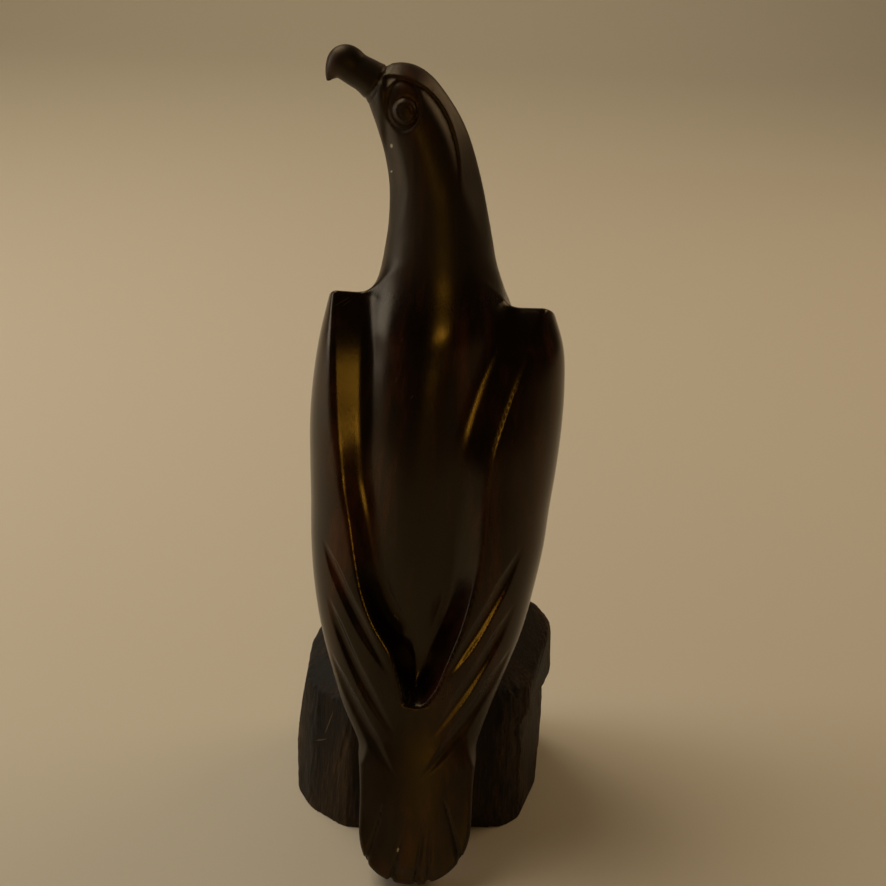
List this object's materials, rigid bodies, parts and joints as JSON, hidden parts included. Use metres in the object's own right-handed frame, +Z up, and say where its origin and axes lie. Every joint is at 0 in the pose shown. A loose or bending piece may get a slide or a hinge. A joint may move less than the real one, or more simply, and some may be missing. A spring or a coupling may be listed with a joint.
{
  "type": "ironwood bird carving",
  "caption": "Upright eagle with folded wings and turned, raised head, carved in one piece with its rough-hewn rock plinth.",
  "frame": {"origin": "middle of the plinth's flat underside, on the table", "axes": "+Z up, +Y the way the breast faces, +X to the bird's right; the tail hangs toward -Y and the head turns toward -X"},
  "size_m": [0.1071, 0.1254, 0.3049],
  "materials": {
    "ironwood": "polished dark heartwood on the bird, left matt from the chisel on the plinth"
  },
  "bodies": {
    "root": {"bird_carving": "ironwood"}
  },
  "joints": []
}
